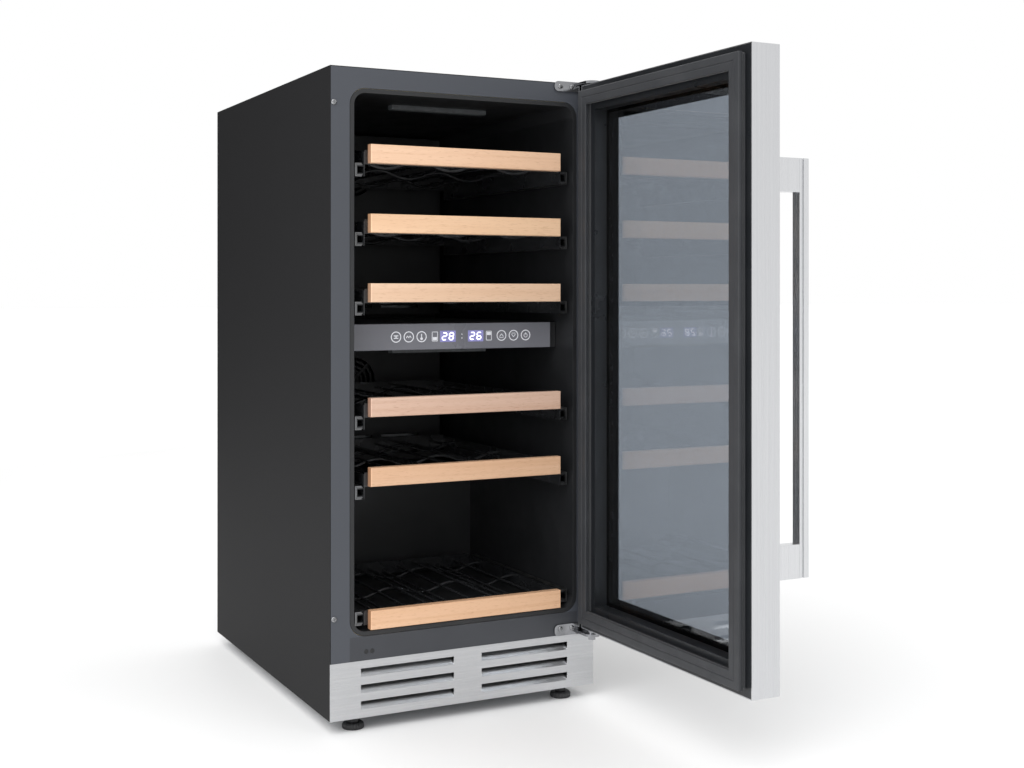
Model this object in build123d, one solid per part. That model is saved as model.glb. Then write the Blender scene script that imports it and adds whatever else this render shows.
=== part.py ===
from build123d import *
import math
import os

# Built-in two-zone wine cooler, millimetres.
# Origin: on the floor, under the centre of the cabinet. +X right, +Y to the rear, +Z up.
# The door is drawn closed and then swung to its rest pose, a quarter turn open.

# ---------------------------------------------------------------- overall sizes
cabinet_width = 380.0
cabinet_depth = 522.0
body_height = 820.0
foot_clearance = 18.0
sheet = 1.0
pan_sheet = 1.5
door_rest_angle = 90.0

# ---------------------------------------------------------------- front of the cabinet
frame_band = 26.0
frame_thickness = 2.5
lip_width = 5.4
lip_groove = 0.6
kick_height = 72.0
kick_sheet = 1.2
fascia_height = 30.4

# ---------------------------------------------------------------- insulated cavity
liner_wall = 3.0
cavity_corner = 15.0
cavity_depth = 461.0
rear_foam = 57.0
machine_foam = 25.0
machine_depth = 166.0
machine_height = 234.0

# ---------------------------------------------------------------- divider and controls
divider_height = 34.5
divider_wall = 4.0
divider_level = 460.3
divider_setback = 45.0
divider_clearance = 0.4
divider_rear_gap = 2.0
fascia_side_gap = 11.0
fascia_depth = 3.0
fascia_edge = 0.8
window_offset = 12.4
window_width = 23.0
window_height = 15.0
window_spacing = 41.0
window_depth = 1.5

# ---------------------------------------------------------------- shelves
shelf_pitch = 88.0
top_zone_level = 523.7
lower_zone_level = 290.6
bottom_shelf_level = 110.0
wood_width = 274.0
wood_height = 24.0
wood_thickness = 11.0
wood_proud = 4.0
rack_length = 384.0
bottom_rack_length = 290.0
wire_radius = 1.75
cross_wire_radius = 2.25
wave_height = 10.0
cradles = 3
rack_height = 4.0
bottom_rack_lift = 6.0
strip_thickness = 1.5
strip_height = 18.0
strip_drop = 1.0
web_drop = 2.0
cross_wire_shares = (0.12, 0.5, 0.88)
wood_edge = 1.2

# ---------------------------------------------------------------- telescopic slides
slide_height = 17.0
slide_thickness = 12.0
slide_offset = 4.5
slide_gap = 0.5
slide_length = 380.0
bottom_slide_length = 286.0
slide_drop = 8.0
bottom_slide_rise = 13.0
fixed_wall = 1.2
middle_wall = 1.0
inner_wall = 1.0
fixed_lip = 3.0
middle_lip = 1.8
inner_play = 0.4
pad_front_gap = 12.0
pad_rear_gap = 40.0
pad_length = 20.0

# ---------------------------------------------------------------- door
door_gap = 12.0
door_thickness = 40.0
door_bottom_gap = 8.0
door_top_drop = 3.0
door_skin = 1.2
tray_corner = 2.0
door_band = 40.0
recess_band = 36.0
recess_depth = 18.0
pane_thickness = 4.0
pane_overlap = 6.0
spacer_width = 10.0
gasket_inset = 9.5
gasket_width = 19.5
gasket_thickness = 11.2
gasket_foot = 4.0
gasket_step = 2.0
hinge_inset = 14.0
hinge_offset = 20.0
pin_radius = 3.0
pin_clearance = 0.05
pin_depth = 12.0
bracket_plate = 3.0
bracket_arm = 3.5
bracket_width = 57.0
bracket_corner = 6.0
bracket_plate_height = 13.5
lower_plate_height = 15.0
arm_radius = 11.0
arm_gap = 1.0

# ---------------------------------------------------------------- handle
handle_inset = 16.0
handle_width = 13.0
handle_reach = 40.0
handle_bar = 14.0
handle_length = 485.0
handle_bottom = 206.5
post_height = 39.5
handle_edge = 0.8
handle_groove = 2.4
handle_groove_depth = 2.0
handle_groove_place = 3.6

# ---------------------------------------------------------------- fans and machine parts
fan_size = 92.0
fan_depth = 25.0
fan_hole = 88.0
fan_tip_gap = 2.0
fan_hub_radius = 18.0
shaft_radius = 2.5
shaft_clearance = 0.05
condenser_fan_size = 120.0
condenser_fan_hole = 114.0
blade_count = 7
duct_sheet = 2.5
duct_space = 37.0
duct_half_width = 150.0
foot_radius = 14.0
stud_radius = 4.0
stud_clearance = 0.08
stud_length = 30.0
foot_side_inset = 39.0
foot_front_inset = 23.0
foot_rear_inset = 21.0

# ---------------------------------------------------------------- derived planes
half_width = cabinet_width / 2
inner_half = half_width - sheet
front = -cabinet_depth / 2
rear = cabinet_depth / 2
base = foot_clearance
top = base + body_height
frame_half = half_width - frame_band
frame_top = top - frame_band
frame_back = front + frame_thickness
kick_top = base + kick_height
fascia_top = kick_top + fascia_height
cavity_half = frame_half - lip_groove - lip_width
cavity_top = frame_top - lip_groove - lip_width
cavity_bottom = fascia_top + lip_groove + lip_width
cavity_rear = front + cavity_depth
machine_front = rear - sheet - machine_depth
machine_top = base + machine_height
hump_front = machine_front - sheet - machine_foam - liner_wall
hump_top = machine_top + machine_foam + liner_wall
divider_bottom = base + divider_level
divider_top = divider_bottom + divider_height
divider_front = front + divider_setback
duct_front = cavity_rear - duct_space
duct_back = duct_front + duct_sheet
divider_rear = duct_front - divider_rear_gap
hinge_x = half_width - hinge_inset
hinge_y = front - hinge_offset
door_inner = front - door_gap
door_outer = door_inner - door_thickness
door_bottom = kick_top + door_bottom_gap
door_top = top - door_top_drop
glass_inner = door_inner - recess_depth
glass_outer = door_outer + door_skin
foot_x = half_width - foot_side_inset
foot_places = {
    "front_left": (-foot_x, front + foot_front_inset),
    "front_right": (foot_x, front + foot_front_inset),
    "rear_left": (-foot_x, rear - foot_rear_inset),
    "rear_right": (foot_x, rear - foot_rear_inset),
}
shelf_levels = [
    base + top_zone_level + 2 * shelf_pitch,
    base + top_zone_level + shelf_pitch,
    base + top_zone_level,
    base + lower_zone_level + shelf_pitch,
    base + lower_zone_level,
    base + bottom_shelf_level,
]
frame_corner = cavity_corner + lip_width + lip_groove
hinge_line = Axis((hinge_x, hinge_y, 0), (0, 0, 1))


# ---------------------------------------------------------------- small helpers
def block(x, y, z):
    """A box from three (low, high) pairs."""
    centre = (x[0] + x[1]) / 2, (y[0] + y[1]) / 2, (z[0] + z[1]) / 2
    return Pos(*centre) * Box(x[1] - x[0], y[1] - y[0], z[1] - z[0])


def tube_block(x, y, z, corner):
    """A box whose four edges along Y are rounded."""
    return fillet(block(x, y, z).edges().filter_by(Axis.Y), corner)


def rod_x(x, y, z, radius):
    return Pos((x[0] + x[1]) / 2, y, z) * Rot(0, 90, 0) * Cylinder(radius, x[1] - x[0])


def rod_y(x, y, z, radius):
    return Pos(x, (y[0] + y[1]) / 2, z) * Rot(90, 0, 0) * Cylinder(radius, y[1] - y[0])


def rod_z(x, y, z, radius):
    return Pos(x, y, (z[0] + z[1]) / 2) * Cylinder(radius, z[1] - z[0])


def ring_y(half, z, band, y):
    """A rectangular frame in the XZ plane, band wide, between two y values."""
    outer = block((-half, half), y, z)
    inner = block((band - half, half - band), (y[0] - 1, y[1] + 1), (z[0] + band, z[1] - band))
    return outer - inner


def mirrored(shape):
    return mirror(shape, about=Plane.YZ)


def solids_of(shape):
    pieces = []
    for item in shape if isinstance(shape, (list, tuple)) else [shape]:
        pieces.extend(item.solids())
    return pieces


def save(name, shape):
    os.makedirs("parts", exist_ok=True)
    pieces = solids_of(shape)
    export_step(pieces[0] if len(pieces) == 1 else Compound(children=pieces), f"parts/{name}.step")


def save_on_door(name, shape):
    """Swing a piece of the closed door to the rest pose and write it."""
    save(name, [s.rotate(hinge_line, door_rest_angle) for s in solids_of(shape)])


# ---------------------------------------------------------------- screws
screw_head_radius = 3.6
screw_head_height = 1.8
screw_shank_radius = 1.8
screw_edge = 5.0
upper_screw_drop = 46.0
lower_screw_rise = 56.0
band_screws = [
    (side * (half_width - screw_edge), z)
    for side in (-1, 1)
    for z in (top - upper_screw_drop, kick_top + lower_screw_rise)
]
upper_plate_z = door_top + arm_gap + bracket_arm - bracket_plate_height
lower_plate_z = kick_top
hinge_screw_inset = 9.0
hinge_screw_pitch = 18.0
hinge_screw_rise = 1.5
bracket_end = hinge_x + arm_radius - 2
first_hinge_screw = bracket_end - bracket_width + hinge_screw_inset
hinge_screws = [
    (first_hinge_screw + index * hinge_screw_pitch, z)
    for z in (upper_plate_z + bracket_plate_height / 2,
              lower_plate_z + lower_plate_height / 2 + hinge_screw_rise)
    for index in (0, 1)
]
spare_hole_inset = 48.0
spare_hole_pitch = 8.0
spare_hole_rise = 11.0
spare_hole_radius = 2.4
spare_hinge_holes = [
    (-half_width + spare_hole_inset + index * spare_hole_pitch, kick_top + spare_hole_rise)
    for index in (0, 1)
]


def drill(shape, places, radius=screw_shank_radius):
    """Holes along Y at (x, z) places through a front piece."""
    for x, z in places:
        shape -= rod_y(x, (front - 10, front + 12), z, radius)
    return shape


def cabinet_screws():
    pieces = []
    for x, z in band_screws:
        pieces.append(rod_y(x, (front - screw_head_height, front), z, screw_head_radius)
                      + rod_y(x, (front, frame_back), z, screw_shank_radius))
    seat = front - bracket_plate
    for x, z in hinge_screws:
        pieces.append(rod_y(x, (seat - screw_head_height, seat), z, screw_head_radius)
                      + rod_y(x, (seat, frame_back), z, screw_shank_radius))
    return pieces


# ---------------------------------------------------------------- cabinet shell
def side_panel():
    """Left side sheet, stepped at its foot for the kick plate."""
    panel = block((-half_width, -inner_half), (front, rear), (base, top - sheet))
    panel -= block((-half_width - 1, half_width), (front - 1, front + kick_sheet), (base - 1, kick_top))
    return panel


def top_panel():
    return block((-half_width, half_width), (front, rear), (top - sheet, top))


grille_drop = 8.0
grille_top = machine_top - grille_drop
panel_gap = 1.0
rib_count = 3
rib_inset = 40.0
rib_height = 12.0
rib_proud = 1.2


def rear_panel():
    """Rear sheet with evenly spaced stiffening ribs."""
    low = grille_top + panel_gap
    high = top - sheet
    panel = block((-inner_half, inner_half), (rear - sheet, rear), (low, high))
    for index in range(rib_count):
        z = low + (index + 1) * (high - low) / (rib_count + 1)
        panel += block((rib_inset - inner_half, inner_half - rib_inset), (rear, rear + rib_proud),
                       (z - rib_height / 2, z + rib_height / 2))
    return panel


vent_rows = 9
vent_width = 90.0
vent_slot = 4.0
vent_pitch = 12.0
vent_bottom = 30.0
vent_columns = (-110.0, 0.0, 110.0)
cut_margin = 5.0
inlet_x = -60.0
inlet_z = base + 190.0
inlet_half_width = 16.0
inlet_half_height = 12.0


def rear_grille():
    """Screwed cover of the machine space, with louvred slots and the inlet's cut-out."""
    panel = block((-inner_half, inner_half), (rear - sheet, rear), (base + pan_sheet, grille_top))
    y = (rear - cut_margin, rear + cut_margin)
    for x in vent_columns:
        for row in range(vent_rows):
            z = base + vent_bottom + row * vent_pitch
            panel -= block((x - vent_width / 2, x + vent_width / 2), y, (z, z + vent_slot))
    panel -= block((inlet_x - inlet_half_width, inlet_x + inlet_half_width), y,
                   (inlet_z - inlet_half_height, inlet_z + inlet_half_height))
    return panel


boss_radius = 9.0
boss_height = 12.0
pan_flange = 22.0


def base_pan():
    """Bottom pan with side flanges and a welded nut over each levelling foot."""
    pan = block((-inner_half, inner_half), (front + kick_sheet, rear - sheet), (base, base + pan_sheet))
    for side in (-1, 1):
        x = sorted((side * inner_half, side * (inner_half - pan_sheet)))
        pan += block(x, (front + kick_sheet, rear - sheet), (base, base + pan_flange))
    for x, y in foot_places.values():
        pan += rod_z(x, y, (base + pan_sheet, base + pan_sheet + boss_height), boss_radius)
    for x, y in foot_places.values():
        pan -= rod_z(x, y, (base - 1, base + pan_sheet + boss_height + 1), stud_radius + stud_clearance)
    return pan


def machine_cover():
    """Stepped sheet under the insulation: floor, riser and ceiling of the machine space."""
    floor = block((-inner_half, inner_half), (frame_back, machine_front), (kick_top, kick_top + sheet))
    riser = block((-inner_half, inner_half), (machine_front - sheet, machine_front), (kick_top, machine_top))
    ceiling = block((-inner_half, inner_half), (machine_front - sheet, rear - sheet),
                    (machine_top - sheet, machine_top))
    return floor + riser + ceiling


def front_frame():
    """Painted U-shaped flange round the cavity's mouth."""
    plate = block((-inner_half, inner_half), (front, frame_back), (kick_top, top - sheet))
    y = (front - 1, frame_back + 1)
    plate -= tube_block((-frame_half, frame_half), y, (fascia_top, frame_top), frame_corner)
    plate -= block((-frame_half, frame_half), y, (kick_top - 1, fascia_top))
    return drill(plate, band_screws + hinge_screws)


def lower_fascia():
    plate = block((-frame_half, frame_half), (front, frame_back), (kick_top, fascia_top))
    plate = drill(plate, hinge_screws)
    return drill(plate, spare_hinge_holes, spare_hole_radius)


def cavity_shape(grow):
    """The cavity's space, grown outwards, without the step over the machine space."""
    space = tube_block(
        (-cavity_half - grow, cavity_half + grow),
        (front - (1 if grow == 0 else 0), cavity_rear + grow),
        (cavity_bottom - grow, cavity_top + grow),
        cavity_corner + grow,
    )
    step = block((-half_width, half_width), (hump_front + grow, rear), (base, hump_top - grow))
    return space - step


def inner_liner():
    lip = tube_block(
        (-cavity_half - lip_width, cavity_half + lip_width),
        (front, frame_back),
        (cavity_bottom - lip_width, cavity_top + lip_width),
        cavity_corner + lip_width,
    )
    return (cavity_shape(liner_wall) + lip) - cavity_shape(0)


def foam_insulation():
    body = block((-inner_half, inner_half), (frame_back, rear - sheet), (kick_top + sheet, top - sheet))
    body -= cavity_shape(liner_wall)
    body -= block((-half_width, half_width), (machine_front - sheet, rear), (base, machine_top))
    return body


slot_height = 10.6
slot_pitch = 20.6
slot_bottom = 10.4
slot_rows = 3
slot_length = 129.0
slot_half_gap = 20.0
blade_depth = 7.0
blade_rise = 9.0


def kick_plate():
    """Stainless plate with six stamped louvres that lean inwards."""
    plate = block((-half_width, half_width), (front, front + kick_sheet), (base, kick_top))
    for row in range(slot_rows):
        z = base + slot_bottom + row * slot_pitch
        for side in (-1, 1):
            x = sorted((side * slot_half_gap, side * (slot_half_gap + slot_length)))
            plate -= block(x, (front - 1, front + kick_sheet + 1), (z, z + slot_height))
            y = front + kick_sheet
            outline = Polyline(
                (y - kick_sheet, z - kick_sheet),
                (y, z - kick_sheet),
                (y + blade_depth, z + blade_rise - kick_sheet),
                (y + blade_depth, z + blade_rise),
                (y - kick_sheet, z),
                close=True,
            )
            blade = extrude(Plane.YZ * make_face(outline), x[1] - x[0])
            plate += Pos(x[0], 0, 0) * blade
    return plate


# ---------------------------------------------------------------- divider, controls and light
def zone_divider():
    """Hollow insulated divider, open to the rear."""
    half = cavity_half - divider_clearance
    y = (divider_front + fascia_depth, divider_rear)
    body = block((-half, half), y, (divider_bottom, divider_top))
    body -= block(
        (-half + divider_wall, half - divider_wall),
        (y[0] + divider_wall, y[1] + 1),
        (divider_bottom + divider_wall, divider_top - divider_wall),
    )
    return body


window_places = (window_offset - window_spacing / 2, window_offset + window_spacing / 2)
window_level = divider_bottom + divider_height / 2


def control_fascia():
    """Front of the control module, narrower than the divider it is fixed to."""
    half = cavity_half - fascia_side_gap
    plate = block((-half, half), (divider_front, divider_front + fascia_depth), (divider_bottom, divider_top))
    plate = fillet(plate.edges().filter_by(Axis.X).group_by(Axis.Y)[0], fascia_edge)
    for x in window_places:
        plate -= block(
            (x - window_width / 2, x + window_width / 2),
            (divider_front - 1, divider_front + window_depth),
            (window_level - window_height / 2, window_level + window_height / 2),
        )
    return plate


def display_windows():
    """Two smoked lenses, flush with the control strip."""
    windows = []
    for x in window_places:
        windows.append(block(
            (x - window_width / 2, x + window_width / 2),
            (divider_front, divider_front + window_depth),
            (window_level - window_height / 2, window_level + window_height / 2),
        ))
    return windows


led_half_length = 70.0
led_width = 14.0
led_height = 6.0
led_setback = 90.0
led_edge = 2.0


def led_bars():
    bars = []
    for ceiling in (cavity_top, divider_bottom):
        y = front + led_setback
        bar = block((-led_half_length, led_half_length), (y, y + led_width), (ceiling - led_height, ceiling))
        bars.append(fillet(bar.edges().filter_by(Axis.X).group_by(Axis.Z)[0], led_edge))
    return bars


# ---------------------------------------------------------------- air ducts and cooling
duct_edge = 6.0
intake_columns = (-80.0, 0.0, 80.0)
intake_half = 32.0
intake_rise = 10.0
intake_pitch = 9.0
intake_height = 4.0
upper_duct = (divider_top + duct_edge, cavity_top - duct_edge)
lower_duct = (hump_top + duct_edge, divider_bottom - duct_edge)
fan_margin = 12.0
upper_fan_z = upper_duct[1] - fan_margin - fan_size / 2
lower_fan_z = lower_duct[1] - fan_margin - fan_size / 2
guard_step = 8.0
guard_slot = 4.6
guard_spoke = 4.0
spoke_angles = (45, 135)
intake_slots = 4


def duct_cover(z, fan_z):
    """Plate with side returns, a ring-slotted fan guard and a row of intake slots."""
    cover = block((-duct_half_width, duct_half_width), (duct_front, duct_back), z)
    for side in (-1, 1):
        x = sorted((side * duct_half_width, side * (duct_half_width - duct_sheet)))
        cover += block(x, (duct_front, cavity_rear), z)
    y = (duct_front - 1, duct_back + 1)
    slots = None
    radius = guard_step
    while radius + guard_slot < fan_hole / 2 - 1:
        ring = rod_y(0, y, fan_z, radius + guard_slot) - rod_y(0, y, fan_z, radius)
        slots = ring if slots is None else slots + ring
        radius += guard_step
    for angle in spoke_angles:
        slots -= Pos(0, duct_front, fan_z) * Rot(0, angle, 0) * Box(2 * fan_hole, 2 * duct_space, guard_spoke)
    cover -= slots
    for row in range(intake_slots):
        low = z[0] + intake_rise + row * intake_pitch
        for x in intake_columns:
            cover -= block((x - intake_half, x + intake_half), y, (low, low + intake_height))
    return cover


fan_corner = 5.0
spider_thickness = 3.0
spider_arm = 5.0
shaft_end_gap = 6.0
rotor_rear_gap = 4.0
rotor_front_gap = 2.0
hub_cap = 3.0
blade_pitch_angle = 38.0
blade_chord = 20.0
blade_thickness = 1.8
blade_root = 4.0


def fan_housing(size, hole):
    """Square fan frame with a rear spider and shaft, axis along Z, centred on the origin."""
    body = Box(size, size, fan_depth)
    body = fillet(body.edges().filter_by(Axis.Z), fan_corner)
    body -= Cylinder(hole / 2, fan_depth + 2)
    floor = -fan_depth / 2
    spider_middle = floor + spider_thickness / 2
    spider = Pos(0, 0, spider_middle) * Cylinder(fan_hub_radius, spider_thickness)
    for angle in spoke_angles:
        spider += Pos(0, 0, spider_middle) * Rot(0, 0, angle) * Box(hole + 3, spider_arm, spider_thickness)
    shaft = rod_z(0, 0, (floor + spider_thickness, fan_depth / 2 - shaft_end_gap), shaft_radius)
    return body + spider + shaft


def fan_rotor(hole):
    """Hub and pitched blades with a running bore, axis along Z."""
    low = -fan_depth / 2 + rotor_rear_gap
    high = fan_depth / 2 - rotor_front_gap
    rotor = rod_z(0, 0, (low, high), fan_hub_radius)
    tip = hole / 2 - fan_tip_gap
    blade_length = tip - fan_hub_radius + blade_root
    middle = fan_hub_radius - blade_root + blade_length / 2
    for index in range(blade_count):
        blade = Rot(0, 0, index * 360 / blade_count) * Pos(middle, 0, (low + high) / 2)
        rotor += blade * Rot(blade_pitch_angle, 0, 0) * Box(blade_length, blade_chord, blade_thickness)
    rotor &= rod_z(0, 0, (low, high), tip)
    rotor -= rod_z(0, 0, (low - 1, high - hub_cap), shaft_radius + shaft_clearance)
    return rotor


def circulation_fan_place(z):
    """Behind the duct cover, blowing forwards."""
    return Pos(0, duct_back + fan_depth / 2, z) * Rot(90, 0, 0)


condenser_side_gap = 10.0
condenser_depth = 48.0
condenser_fan_gap = 2.0
condenser_front_gap = 8.0
condenser_rear_gap = 40.0
condenser_floor_gap = 34.0
condenser_top_gap = 44.0
condenser_x = (condenser_side_gap - half_width, condenser_side_gap + condenser_depth - half_width)
condenser_y = (machine_front + condenser_front_gap, rear - condenser_rear_gap)
condenser_z = (base + condenser_floor_gap, machine_top - condenser_top_gap)
condenser_fan_x = condenser_x[1] + condenser_fan_gap + fan_depth / 2


def condenser_fan_place():
    y = (condenser_y[0] + condenser_y[1]) / 2
    z = (condenser_z[0] + condenser_z[1]) / 2
    return Pos(condenser_fan_x, y, z) * Rot(0, 90, 0)


def fan_housings():
    return [
        circulation_fan_place(upper_fan_z) * fan_housing(fan_size, fan_hole),
        circulation_fan_place(lower_fan_z) * fan_housing(fan_size, fan_hole),
        condenser_fan_place() * fan_housing(condenser_fan_size, condenser_fan_hole),
    ]


evaporator_sheet = 2.0
evaporator_tube = 4.0
evaporator_half = 125.0
evaporator_rear_gap = 12.0
evaporator_margin = 6.0
tube_inset = 10.0
tube_pitch = 24.0


def evaporator(z):
    """Roll-bond plate with raised tube runs."""
    y = cavity_rear - evaporator_rear_gap
    plate = block((-evaporator_half, evaporator_half), (y, y + evaporator_sheet), z)
    run = z[0] + tube_pitch / 2
    while run < z[1] - 2 * evaporator_tube:
        plate += rod_x((tube_inset - evaporator_half, evaporator_half - tube_inset), y, run, evaporator_tube)
        run += tube_pitch
    return plate


def evaporators():
    """One plate below each circulation fan, behind its duct cover."""
    plates = []
    for duct, fan_z in ((upper_duct, upper_fan_z), (lower_duct, lower_fan_z)):
        plates.append(evaporator((duct[0] + evaporator_margin, fan_z - fan_size / 2 - evaporator_margin)))
    return plates


compressor_side_gap = 92.0
compressor_front_gap = 76.0
compressor_x = half_width - compressor_side_gap
compressor_y = machine_front + compressor_front_gap
grommet_height = 12.0
grommet_radius = 9.0
shell_radius = 50.0
shell_height = 135.0
plate_half_x = 72.0
plate_half_y = 50.0
plate_thickness = 3.0
shell_crown = 32.0
grommet_inset = 11.0
relay_half_width = 24.0
relay_reach = 70.0
relay_height = (50.0, 95.0)
mount_places = [
    (compressor_x + sx * (plate_half_x - grommet_inset), compressor_y + sy * (plate_half_y - grommet_inset))
    for sx in (-1, 1)
    for sy in (-1, 1)
]
mount_floor = base + pan_sheet


def compressor():
    """Welded shell on a foot plate, with its relay box on the front."""
    z = mount_floor + grommet_height
    foot = block(
        (compressor_x - plate_half_x, compressor_x + plate_half_x),
        (compressor_y - plate_half_y, compressor_y + plate_half_y),
        (z, z + plate_thickness),
    )
    shell = rod_z(compressor_x, compressor_y, (z + plate_thickness, z + shell_height), shell_radius)
    shell = fillet(shell.edges().group_by(Axis.Z)[-1], shell_crown)
    relay = block((compressor_x - relay_half_width, compressor_x + relay_half_width),
                  (compressor_y - relay_reach, compressor_y - shell_radius + grommet_inset),
                  (z + relay_height[0], z + relay_height[1]))
    return foot + shell + relay


def compressor_mounts():
    return [rod_z(x, y, (mount_floor, mount_floor + grommet_height), grommet_radius)
            for x, y in mount_places]


fin_pitch = 7.0
fin_thickness = 2.0
end_plate = 5.0
coil_rows = 3
coil_radius = 4.0


def condenser():
    """Finned core with end plates; air passes along X."""
    core = block(condenser_x, condenser_y, condenser_z)
    x_through = (condenser_x[0] - 1, condenser_x[1] + 1)
    z_open = (condenser_z[0] + end_plate, condenser_z[1] - end_plate)
    y = condenser_y[0] + fin_thickness
    while y + fin_pitch < condenser_y[1]:
        core -= block(x_through, (y, y + fin_pitch - fin_thickness), z_open)
        y += fin_pitch
    for index in range(coil_rows):
        z = condenser_z[0] + (index + 1) * (condenser_z[1] - condenser_z[0]) / (coil_rows + 1)
        for x in (condenser_x[0] + condenser_depth / 4, condenser_x[1] - condenser_depth / 4):
            core += rod_y(x, condenser_y, z, coil_radius)
    return core


pipe_radius = 3.0
drier_radius = 9.0
drier_rise = 60.0
drier_span = (30.0, 110.0)
drier_fan_gap = 22.0
pipe_crest_gap = 14.0
suction_drop = 14.0
discharge_offset = -10.0
suction_offset = 20.0
discharge_bend = 3.5
suction_bend = 10.0


def pipe(points, bend):
    path = FilletPolyline(*points, radius=bend)
    start = Plane(origin=path @ 0, z_dir=path % 0)
    return sweep(start * Circle(pipe_radius), path=path)


def refrigerant_pipes():
    """Discharge line, liquid line with its filter drier, and suction line."""
    shell_top = mount_floor + grommet_height + shell_height
    crest = machine_top - pipe_crest_gap
    discharge_x = compressor_x + discharge_offset
    coil_x = (condenser_x[0] + condenser_x[1]) / 2
    discharge = pipe([
        (discharge_x, compressor_y, shell_top),
        (discharge_x, compressor_y, crest),
        (coil_x, compressor_y, crest),
        (coil_x, compressor_y, condenser_z[1]),
    ], discharge_bend)
    suction_x = compressor_x + suction_offset
    suction = pipe([
        (suction_x, compressor_y, shell_top),
        (suction_x, compressor_y, crest - suction_drop),
        (suction_x, machine_front, crest - suction_drop),
    ], suction_bend)
    drier_y = (machine_front + drier_span[0], machine_front + drier_span[1])
    drier_x = condenser_fan_x + fan_depth / 2 + drier_fan_gap
    drier_z = base + drier_rise
    drier = rod_y(drier_x, drier_y, drier_z, drier_radius)
    liquid = rod_y(drier_x, (machine_front, drier_y[0]), drier_z, pipe_radius)
    return [discharge, suction, drier, liquid]


inlet_depth = 26.0
flange_side = 4.0
flange_edge = 2.0
flange_thickness = 2.0
socket_half_width = 13.0
socket_half_height = 9.0
socket_depth = 15.0
blade_half_width = 1.0
blade_half_height = 2.0
blade_recess = 3.0
blade_places = ((-7.0, -4.0), (7.0, -4.0), (0.0, 4.0))


def power_inlet():
    """Mains inlet: a flanged body with a recess and three blades."""
    body = block(
        (inlet_x - inlet_half_width, inlet_x + inlet_half_width),
        (rear - inlet_depth, rear),
        (inlet_z - inlet_half_height, inlet_z + inlet_half_height),
    )
    body += block(
        (inlet_x - inlet_half_width - flange_side, inlet_x + inlet_half_width + flange_side),
        (rear, rear + flange_thickness),
        (inlet_z - inlet_half_height - flange_edge, inlet_z + inlet_half_height + flange_edge),
    )
    body -= block((inlet_x - socket_half_width, inlet_x + socket_half_width),
                  (rear - socket_depth, rear + flange_thickness + 1),
                  (inlet_z - socket_half_height, inlet_z + socket_half_height))
    for x, z in blade_places:
        body += block((inlet_x + x - blade_half_width, inlet_x + x + blade_half_width),
                      (rear - socket_depth - 1, rear - blade_recess),
                      (inlet_z + z - blade_half_height, inlet_z + z + blade_half_height))
    return body


pad_height = 8.0
pad_chamfer = 2.0
collar_radius = 8.0
collar_height = 6.0


def levelling_foot(x, y):
    """Plastic foot with a hexagon collar on a threaded stud."""
    pad = rod_z(x, y, (0, pad_height), foot_radius)
    pad = chamfer(pad.edges().group_by(Axis.Z)[-1], pad_chamfer)
    collar = Pos(x, y, pad_height) * extrude(RegularPolygon(collar_radius, 6), collar_height)
    stud_low = pad_height + collar_height
    stud = rod_z(x, y, (stud_low, stud_low + stud_length), stud_radius)
    return pad + collar + stud


# ---------------------------------------------------------------- hinge hardware
def upper_bracket():
    z = (upper_plate_z, upper_plate_z + bracket_plate_height)
    return hinge_bracket(z, (z[1] - bracket_arm, z[1]))


def lower_bracket():
    z = (lower_plate_z, lower_plate_z + lower_plate_height)
    return hinge_bracket(z, (z[0], z[0] + bracket_arm))


def hinge_bracket(plate_z, arm_z):
    """Angle bracket: a screwed plate with a rounded end and an arm that carries the pin."""
    left = bracket_end - bracket_width
    plate = block((left, bracket_end), (front - bracket_plate, front), plate_z)
    plate = fillet(plate.edges().filter_by(Axis.Y).group_by(Axis.X)[0], bracket_corner)
    plate = drill(plate, hinge_screws)
    arm = block((hinge_x - arm_radius, bracket_end), (hinge_y, front - bracket_plate), arm_z)
    arm += rod_z(hinge_x, hinge_y, arm_z, arm_radius)
    bracket = plate + arm
    return bracket - rod_z(hinge_x, hinge_y, (arm_z[0] - 1, arm_z[1] + 1), pin_radius)


collar_grow = 2.5
thrust_gap = 0.5
nut_radius = 5.5
nut_height = 5.0


def hinge_pins():
    """Upper pin from above; lower pin with a thrust collar above the arm and a nut below it."""
    upper_top = upper_plate_z + bracket_plate_height
    upper = rod_z(hinge_x, hinge_y, (door_top - pin_depth, upper_top), pin_radius)
    arm_top = lower_plate_z + bracket_arm
    lower = rod_z(hinge_x, hinge_y, (lower_plate_z - 1, door_bottom + pin_depth), pin_radius)
    lower += rod_z(hinge_x, hinge_y, (arm_top, door_bottom - thrust_gap), pin_radius + collar_grow)
    nut = extrude(RegularPolygon(nut_radius, 6), nut_height)
    lower += Pos(hinge_x, hinge_y, lower_plate_z - nut_height) * nut
    return [upper, lower]


# ---------------------------------------------------------------- door, drawn closed
pin_hole = pin_radius + pin_clearance
pin_end_gap = 2.0


def bore_for_pins(shape):
    depth = pin_depth + pin_end_gap
    low = rod_z(hinge_x, hinge_y, (door_bottom - 1, door_bottom + depth), pin_hole)
    high = rod_z(hinge_x, hinge_y, (door_top - depth, door_top + 1), pin_hole)
    return shape - low - high


def door_frame():
    """Stainless tray: front face with a window and four folded sides."""
    z = (door_bottom, door_top)
    tray = block((-half_width, half_width), (door_outer, door_inner), z)
    tray = fillet(tray.edges().filter_by(Axis.Z).group_by(Axis.Y)[0], tray_corner)
    tray -= block((-half_width + door_skin, half_width - door_skin), (door_outer + door_skin, door_inner + 1),
                  (z[0] + door_skin, z[1] - door_skin))
    tray -= block((-half_width + door_band, half_width - door_band), (door_outer - 1, glass_outer + 1),
                  (z[0] + door_band, z[1] - door_band))
    return bore_for_pins(tray)


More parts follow.
